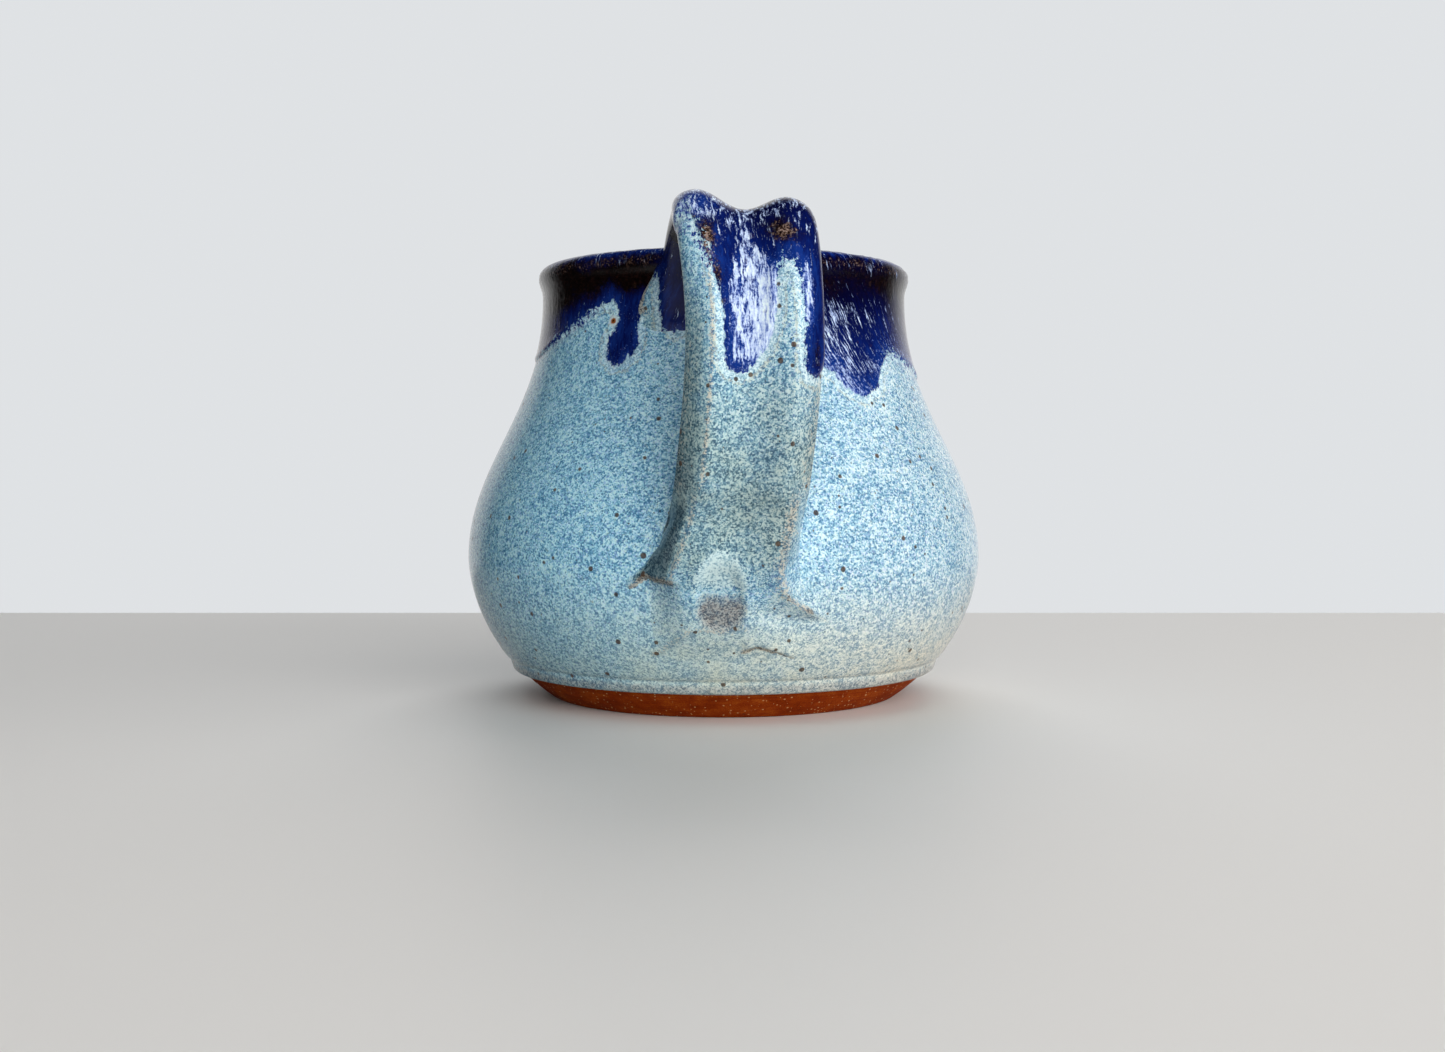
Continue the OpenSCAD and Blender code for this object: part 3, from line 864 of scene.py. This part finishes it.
def dipped_glazes():
    """The pale mottled glaze, and the cobalt over it wherever the cobalt field is above 0."""
    shader = Shader(bpy.data.materials.new("dipped_glazes"))
    mix, noise, stops = shader.mix, shader.noise, shader.stops
    where = shader.place()
    depth, thin_glaze_and_shade, ragged = (shader.field(name) for name in ("cobalt", "thin_glaze_and_shade", "ragged"))
    across, along, pooled = (shader.field("flow", "Vector").axis(part) for part in range(3))
    milk, iron, broken = (shader.field("marks", "Vector").axis(part) for part in range(3))

    # Pale glaze, mottled by noise of several sizes
    grain = noise(where, 0.27, 1)
    fleck = noise(where, 0.62, 2, 0.6)
    patch, cloud = noise(where, 2), noise(where, 9)
    dots = shader.cells(where, 0.4, "Color")
    drops = shader.cells(where, 0.8, "Color").channel(0) - 0.5
    dot_tone = dots.channel(0) - 0.5
    dot_hue = dots.channel(1) - 0.5
    tone = 0.5 + dot_tone * 0.95 + drops * 0.4 + fleck * 0.8 + grain * 1.3 + patch * 0.6 + cloud * 0.4
    pale = stops(tone, {
        0.05: (0.06, 0.18, 0.34), 0.28: (0.14, 0.35, 0.54), 0.5: (0.28, 0.53, 0.69),
        0.72: (0.48, 0.73, 0.83), 0.95: (0.66, 0.84, 0.89),
    })
    pale = mix((dot_hue + fleck * 0.8).step(0.18, 0.5) * 0.45, pale, (0.33, 0.43, 0.76))
    pale = mix((dot_hue * -1 + patch * 0.8).step(0.22, 0.6) * 0.4, pale, (0.56, 0.7, 0.64))
    cream = stops(tone, {
        0.1: (0.29, 0.39, 0.42), 0.4: (0.52, 0.6, 0.56), 0.7: (0.67, 0.72, 0.64),
        1.0: (0.78, 0.83, 0.75),
    })
    lean_glaze_and_shade = stops(tone, {
        0.05: (0.05, 0.1, 0.14), 0.35: (0.13, 0.23, 0.28), 0.6: (0.23, 0.35, 0.38),
        0.85: (0.43, 0.54, 0.53),
    })
    cloudy = 1 + cloud * 1.1 + patch * 0.5
    # Cream glaze where the thin field is above 0 and lean glaze below; its darkest stage, below -1, is
    # partly painted shade on the strap's left flank and toe
    pale = mix((thin_glaze_and_shade * cloudy).clamped(), pale, cream)
    pale = mix((thin_glaze_and_shade * cloudy * -1).clamped(), pale, lean_glaze_and_shade)
    pale = mix((thin_glaze_and_shade * -1 - 1).clamped(), pale, shader.tint(lean_glaze_and_shade, (0.36, 0.42, 0.5)))
    # Glaze bluer on the left and warmer on the right: partly its own hue, partly painted cool and warm
    # light
    hue_and_painted_light = mix(where.axis(0).step(-60.0, 60.0), (0.84, 1.04, 1.09), (1.05, 0.97, 0.94))
    pale = shader.tint(pale, hue_and_painted_light)
    mauve = (pooled * 0.9 + fleck * 0.6 + patch * 0.5).clamped() * pooled.step(0, 0.3)
    pale = mix(mauve, pale, stops(tone, {
        0.15: (0.07, 0.08, 0.1), 0.5: (0.2, 0.205, 0.22), 0.85: (0.37, 0.385, 0.38),
    }))
    # White pooled glaze; inside the finger mark it is partly a painted highlight
    white = (pooled * -1 + fleck * 0.9 + patch * 0.6 + dot_tone * 0.5).step(0.1, 0.9)
    white = white * (pooled * -1).step(0, 0.2)
    pale = mix(white * 0.8, pale, stops(tone, {0.15: (0.38, 0.61, 0.71), 0.6: (0.67, 0.85, 0.87)}))
    # Brown where the glaze broke thin; in the strap's creases and along its upper seam this brown is
    # partly painted shade
    wear_and_shade = (broken + fleck * 0.9 + dot_tone * 0.35 + patch * 0.4).step(0.22, 0.7)
    pale = mix(wear_and_shade * 0.78, pale, stops(tone, {
        0.15: (0.07, 0.04, 0.025), 0.45: (0.23, 0.18, 0.13), 0.8: (0.5, 0.46, 0.38),
    }))

    # Edge of the cobalt, with its halo and pale rim
    feather = noise(where, 1.3, 3, 0.7)
    bent = across + patch * 1.1 + fleck * 0.25
    runs = noise(shader.vector(bent * 2.0, along * 0.4, 0.0), 1, 2, 0.6)
    wander = feather * 3.0 + runs * 1.6 + dot_tone * 0.5
    inside = depth + wander * (1 + ragged * 3.5)
    halo = (depth + wander + 2.2).step(0, 1.8)
    pale = mix(halo * 0.5, pale, stops(tone, {0.2: (0.4, 0.62, 0.73), 0.6: (0.7, 0.84, 0.88)}))
    rim = (depth + wander + 2.5).step(0, 0.4) * (1 - (depth + wander + 2.0).step(0, 0.4))
    pale = mix(rim * 0.4 * (1 - ragged), pale, (0.62, 0.6, 0.44))

    # Cobalt, with its milky runs, brown iron and rust
    streak = noise(shader.vector(bent * 1.9, along * 0.24, 4.0), 1, 3, 0.7)
    swirl = noise(shader.vector(bent * 0.6, along * 0.16, 9.0), 1, 2, 0.6)
    deep = stops((depth * 0.6 + cloud * 5 + swirl * 8 + streak * 9 - milk * 3 + 0.6) * 0.08, {
        0.0: (0.005, 0.025, 0.18), 0.22: (0.002, 0.008, 0.09), 0.5: (0.0012, 0.003, 0.045),
        0.9: (0.001, 0.001, 0.016),
    })
    milky = (milk * 0.8 + streak * 2.2 + swirl * 1.3 + fleck * 0.5 - 0.42).step(-0.04, 0.32)
    lavender = stops(streak * 2.1 + fleck * 0.7 + swirl * 0.8 + milk * 0.6 + 0.02, {
        0.1: (0.015, 0.05, 0.28), 0.35: (0.16, 0.24, 0.54), 0.6: (0.45, 0.56, 0.8),
        0.9: (0.7, 0.83, 0.87),
    })
    dotted = (fleck * 2.0 + grain * 1.2 + dot_tone * 0.5 + milk * 0.8 - depth * 0.09).step(0.16, 0.42)
    rich = mix((milky + dotted * 0.75 * (1 - iron * 0.8)).clamped(), deep, lavender)
    burnt = stops(tone, {
        0.35: (0.002, 0.001, 0.001), 0.7: (0.005, 0.002, 0.002), 1.0: (0.013, 0.005, 0.004),
    })
    rich = mix((iron + fleck * 0.5 + feather * 0.5 + cloud * 1.2).step(0.2, 0.9), rich, burnt)
    rusty = (broken + fleck * 0.8 + feather * 0.9).step(0.3, 0.8) * 0.85
    rich = mix(rusty, rich, stops(tone * 0.8 + broken * 0.9 - 0.3, {
        0.25: (0.015, 0.007, 0.006), 0.6: (0.07, 0.035, 0.022), 0.95: (0.36, 0.26, 0.22),
    }))
    covered = inside.step(-0.2, 0.25)
    base = mix(covered, pale, rich)

    # Iron specks, then the pinhole
    iron_spots = specks(shader, where, 3.2, 0.34, 0.28, 0.8) + specks(shader, where, 1.9, 0.14, 0.16, 0.3)
    iron_spots = iron_spots.clamped() * (1 - covered * 0.8)
    brown = stops(fleck + 0.5, {0.35: (0.018, 0.011, 0.008), 0.65: (0.1, 0.05, 0.022)})
    base = mix(iron_spots * 0.9, base, brown)
    spot = shader.add("VectorMath", {0: where, 1: PINHOLE}, "Value", operation="DISTANCE") + fleck * 0.5
    base = mix((1.7 - spot).step(0, 0.5) * 0.7, base, (0.62, 0.72, 0.74))
    base = mix((1.0 - spot).step(0, 0.4), base, (0.3, 0.09, 0.02))
    base = mix((0.5 - spot).step(0, 0.3), base, (0.04, 0.014, 0.006))

    gloss = 0.17 + fleck * 0.18 + grain * 0.12 - covered * 0.09 + iron_spots * 0.2 + wear_and_shade * 0.12
    relief = fleck * 0.4 + grain * 0.25 + patch * 0.3 - iron_spots * 0.5
    relief = relief + covered * (streak * 0.9 + swirl * 0.8)
    return shader.finish(Base_Color=base, Roughness=gloss, Normal=shader.bump(relief, 0.45, 0.14),
                         Specular_IOR_Level=0.26)


def bare_clay():
    """Red stoneware with pale grog, dark specks and turning lines."""
    shader = Shader(bpy.data.materials.new("bare_clay"))
    where = shader.place()
    grain = shader.noise(where, 0.35, 2, 0.6)
    blotch = shader.noise(where, 5, 3, 0.6)
    flat = shader.add("VectorMath", {0: where, 1: (0.06, 0.06, 1.8)}, operation="MULTIPLY")
    rings = shader.noise(flat, 1, 2)
    base = shader.stops(0.5 + blotch * 0.9 + grain * 0.9 + rings * 0.5, {
        0.2: (0.16, 0.016, 0.001), 0.5: (0.3, 0.038, 0.002), 0.8: (0.46, 0.095, 0.01),
    })
    grog = specks(shader, where, 0.9, 0.4, 0.1, 0.3)
    base = shader.mix(grog * 0.85, base, (0.72, 0.4, 0.17))
    dark = specks(shader, where, 2.6, 0.2, 0.2, 0.45)
    base = shader.mix(dark * 0.7, base, (0.02, 0.008, 0.005))
    rough = 0.78 + grain * 0.25 - grog * 0.35
    relief = grain * 0.7 + rings * 0.6 + grog * 0.4 - dark * 0.5
    return shader.finish(Base_Color=base, Roughness=rough, Normal=shader.bump(relief, 0.6, 0.16),
                         Specular_IOR_Level=0.1)


def clay_body(material):
    """The thrown wall with its floor, foot ring and shallow hollow underneath."""
    hollow_r = FOOT_R - FOOT_RING_W
    foot = np.array([
        (0, FOOT_HOLLOW), (hollow_r - 14, FOOT_HOLLOW), (hollow_r - 2, FOOT_HOLLOW),
        (hollow_r - 0.4, FOOT_HOLLOW * 0.75), (hollow_r, FOOT_HOLLOW * 0.3), (hollow_r + FOOT_EDGE, 0),
        (FOOT_R - FOOT_EDGE, 0), (FOOT_R - FOOT_EDGE * 0.3, FOOT_EDGE * 0.12),
    ])
    steps = [np.linspace(FOOT_EDGE, 16, 24), np.linspace(17.5, 138, 60),
             np.linspace(139, lengths(OUTSIDE)[-1], 10)]
    outer = at_length(OUTSIDE, np.concatenate(steps))
    inner = at_length(INSIDE, np.linspace(0, lengths(INSIDE)[-1], 80))
    bm = turned(joined(np.concatenate([foot, outer]), inner))
    piece("clay_body", bm, material, "clay", "thrown_body")


def bead(along):
    """Thickness of the pale glaze at a distance above the bare foot: a rolled bead, then an even coat."""
    round_edge = np.sqrt(np.clip(1 - (1 - along / BEAD_EDGE) ** 2, 0, 1))
    thick = GLAZE_T + 0.8 * bump(along, 1.7, 1.4) - 0.3 * bump(along, 4.6, 0.7)
    return np.where(along < BEAD_EDGE, round_edge * thick, thick)


def body_coat(name, line, where, thick, every, material, slot, node):
    """A coat of glaze on the turned body, whose back in the clay has one point for every so many."""
    clay = at_length(line, where)
    side = at_length(line, where, normals(line))
    outer = clay + thick[:, None] * side
    back = clay[::-every] - GLAZE_KEY * side[::-every]
    if line is INSIDE:
        outer[-1, 0] = back[0, 0] = 0
    paint_body(piece(name, turned(np.concatenate([outer, back]), ring=True), material, slot, node))


def pale_coat(material):
    """The pale glaze outside, from its bead above the foot to the top of the lip."""
    done = lengths(OUTSIDE)
    start = float(np.interp(BARE_H, OUTSIDE[:, 1], done))
    top = done[-1] - start
    steps = np.concatenate([
        [0, 0.06, 0.16, 0.3, 0.48, 0.7, 0.95, 1.3, 1.7, 2.2, 2.7, 3.3, 3.9, 4.3, 4.8, 5.3, 5.8, 6.6, 7.6],
        np.linspace(8.6, top - 8, 112), np.linspace(top - 7.4, top, 16),
    ])
    body_coat("pale_coat", OUTSIDE, start + steps, bead(steps), 5, material, "pale_glaze", "outer_glaze")


def inner_coat(material):
    """The glaze that lines the pitcher, from the top of the lip to the floor."""
    steps = np.concatenate([np.linspace(0, 8, 12), np.linspace(9.4, lengths(INSIDE)[-1], 90)])
    thick = np.full(len(steps), GLAZE_T)
    body_coat("inner_coat", INSIDE, steps, thick, 6, material, "liner_glaze", "liner_glaze")


def cobalt_lift(inset, face):
    """How far the cobalt's face stands off the pale glaze, rolled at its edge. All else is buried."""
    inset = np.maximum(inset, 0)
    thick = COBALT_T * (1 - np.exp(-inset / COBALT_RUN)) + ROLL_T * bump(inset, ROLL_IN, ROLL_W)
    return np.where(face, thick - BURIED * np.exp(-inset / BURIED_RUN), -BURIED)


def cobalt_rim(material):
    """The cobalt over the lip: its lower edge follows the runs, and it swells into a roll there."""
    line = joined(OUTSIDE, INSIDE[INSIDE[:, 1] > 80])
    side = normals(line)
    done = lengths(OUTSIDE)
    turns = np.linspace(-math.pi, math.pi, RIM_COLUMNS + 1)
    heights = np.arange(79.0, 113.0, 0.25)
    grid_turn, grid_height = (g.ravel() for g in np.meshgrid(turns, heights, indexing="ij"))
    depth = neck_cobalt(grid_turn, grid_height).reshape(len(turns), len(heights))
    edge = heights[np.argmax(depth > 0, axis=1)]
    weights = {shift: math.exp(-((shift / 4) ** 2)) for shift in range(-8, 9)}
    edge = sum(np.roll(edge[:-1], shift) * weight for shift, weight in weights.items())
    edge = np.append(edge, edge[0]) / sum(weights.values()) - 0.6
    start = np.interp(edge, OUTSIDE[:, 1], done)
    end = done[-1] + inner_dip(turns)
    front = [0, 0.006, 0.016, 0.03, 0.05, 0.08, *np.linspace(0.12, 0.9, 30), 0.95, 0.985, 1]
    share = np.concatenate([front, np.linspace(1, 0, 9)[1:]])

    def place(column, row):
        where = start[column] + share[row] * (end[column] - start[column])
        inset = np.minimum(where - start[column], end[column] - where)
        thick = GLAZE_T + cobalt_lift(inset, row < len(front))
        spot = at_length(line, where) + thick[:, None] * at_length(line, where, side)
        return pulled(round_axis(turns[column], *spot.T))

    bm, _, _ = sheet(RIM_COLUMNS, len(share) - 1, place)
    paint_body(piece("cobalt_rim", closed(bm), material, "cobalt_glaze", "rim_overglaze"))


def tag(bm, *numbers):
    """Writes the column and row of each vertex into its mesh."""
    for name, values in zip(("column", "row"), numbers):
        layer = bm.verts.layers.int.new(name)
        for vert, value in zip(bm.verts, values):
            vert[layer] = int(value)


def untag(bm):
    """Takes the column and row of each vertex out of its mesh."""
    found = []
    for name in ("column", "row"):
        layer = bm.verts.layers.int[name]
        found.append(np.array([v[layer] for v in bm.verts]))
        bm.verts.layers.int.remove(layer)
    return found


def strap_tube(coat):
    """The strap's whole surface as a closed tube, and the column and row of each vertex."""
    bm, column, row = sheet(STRAP_COLUMNS, STRAP_ROWS, lambda c, r: strap_points(r, c, coat))
    tag(bm, column, row)
    return closed(bm, fill=True), *untag(bm)


def clay_handle(material):
    """The clay of the strap, under its glaze."""
    bm, _, _ = strap_tube(-GLAZE_T)
    piece("clay_handle", bm, material, "clay", "pulled_handle")


def handle_coat(material):
    """The pale glaze on the strap and its two smeared roots."""
    bm, column, row = strap_tube(0)
    paint_strap(piece("handle_coat", bm, material, "pale_glaze", "handle_glaze"), column, row)


def cobalt_crest(material):
    """The cobalt over the crest of the strap, down to the ends of its runs."""
    shape = (STRAP_COLUMNS + 1, STRAP_ROWS + 1)
    column, row = (g.ravel() for g in np.indices(shape))
    spots = strap_points(row, column, 0)
    depth = strap_cobalt(STRAP_ROUND[column], PAST_CREST[row], spots).reshape(shape)
    inside_wall = (to_body(spots)[2] < -SUNK).reshape(shape) & (PAST_CREST < 0)
    needless = (depth < -SKIRT) | inside_wall
    last = int(np.max(np.nonzero((depth > 0).any(0))[0])) + 2

    def place(column, row):
        inset = depth[column, row]
        plain = strap_points(row, column, 0)
        coated = strap_points(row, column, GLAZE_T)
        return plain + (coated - plain) * (cobalt_lift(inset, inset > 0) / GLAZE_T)[:, None]

    bm, column, row = sheet(STRAP_COLUMNS, last, place)
    spare = [f for f in bm.faces if all(needless[column[v.index], row[v.index]] for v in f.verts)]
    tag(bm, column, row)
    bmesh.ops.delete(bm, geom=spare, context="FACES")
    bmesh.ops.solidify(closed(bm), geom=bm.faces, thickness=COBALT_BACK * MM)
    column, row = untag(bm)
    paint_strap(piece("cobalt_crest", bm, material, "cobalt_glaze", "handle_overglaze"), column, row)


def floor():
    """A plain floor, pale to the eye, dimmer as a bounce, and in the gloss pale near the pitcher only."""
    shader = Shader(bpy.data.materials.new("pale_floor"))
    pale = (0.82, 0.81, 0.795)
    away = shader.add("VectorMath", {0: shader.place()}, "Value", operation="LENGTH")
    mirrored = shader.mix(away.step(260, 400), pale, (0.07, 0.068, 0.065))
    base = shader.mix((shader.ray("Glossy") + shader.ray("Transmission")).clamped(),
                      (0.33, 0.31, 0.29), mirrored)
    base = shader.mix(shader.ray("Camera"), base, pale)
    bm = bmesh.new()
    bmesh.ops.create_grid(bm, x_segments=1, y_segments=1, size=FLOOR_HALF)
    bmesh.ops.translate(bm, verts=bm.verts, vec=(0, FLOOR_END - FLOOR_HALF, 0))
    made = solid("pale_floor", bm, shader.finish(Base_Color=base, Roughness=0.5))


def lamp(name, place, aim, size, power, tone, mirrored):
    """A soft rectangular lamp out of sight, which the gloss mirrors or not."""
    data = bpy.data.lights.new(name, "AREA")
    data.shape = "RECTANGLE"
    data.size, data.size_y = size
    data.energy = power
    data.color = tone
    made = shown(name, data)
    made.location = place
    way = made.location - Vector(aim)
    made.rotation_euler = way.to_track_quat("Z", "Y").to_euler()
    made.visible_glossy = mirrored
    made.visible_diffuse = not mirrored
    made.visible_camera = False


def backdrop():
    """Pale surroundings for the camera, and for the gloss a room that is pale behind and dim in front."""
    shader = Shader(bpy.data.worlds.new("pale_room"))
    bpy.context.scene.world = shader.owner
    shader.tree.nodes.clear()
    behind = shader.add("TexCoord", {}, "Generated").axis(1)
    light, mirrored, seen = (shader.add("Background", sockets) for sockets in (
        {"Color": (0.8, 0.93, 1), "Strength": 0.085},
        {"Strength": behind.step(0.6, 0.79, 0.015, 1.1)},
        {"Color": (0.74, 0.76, 0.78)},
    ))
    room = shader.add("MixShader", {0: shader.ray("Glossy"), 1: light, 2: mirrored})
    room = shader.add("MixShader", {0: shader.ray("Camera"), 1: room, 2: seen})
    shader.put(shader.tree.nodes.new("ShaderNodeOutputWorld").inputs["Surface"], room)


def camera():
    """The photograph's view: low, and close to the handle."""
    data = bpy.data.cameras.new("view")
    data.sensor_width = 36
    data.sensor_fit = "HORIZONTAL"
    data.lens = 37.37
    data.clip_start = 0.01
    made = shown("view", data)
    made.location = (-0.0003, -0.4271, 0.0628)
    made.rotation_euler = (math.radians(87.87), 0, 0)
    bpy.context.scene.camera = made


bpy.context.scene.view_settings.view_transform = "Standard"
camera()
backdrop()
floor()
lamp("front", (0.53, -1.3, 0.37), (0, 0, 0.06), (1.8, 1.2), 33.2, (1, 0.97, 0.94), False)
lamp("window", (1.18, -0.25, 0.36), (0, 0, 0.06), (0.9, 0.9), 4.6, (1, 0.95, 0.9), False)
lamp("back", (0.05, 1.2, 1.3), (0, 0, 0.06), (1, 1), 12, (1, 1, 1), False)
lamp("glint", (0.45, -0.75, 0.72), (0, 0, 0.1), (0.08, 0.1), 0.9, (1, 1, 1), True)

clay = bare_clay()
glazes = dipped_glazes()
for make in (clay_body, clay_handle):
    make(clay)
for make in (pale_coat, inner_coat, handle_coat, cobalt_rim, cobalt_crest):
    make(glazes)
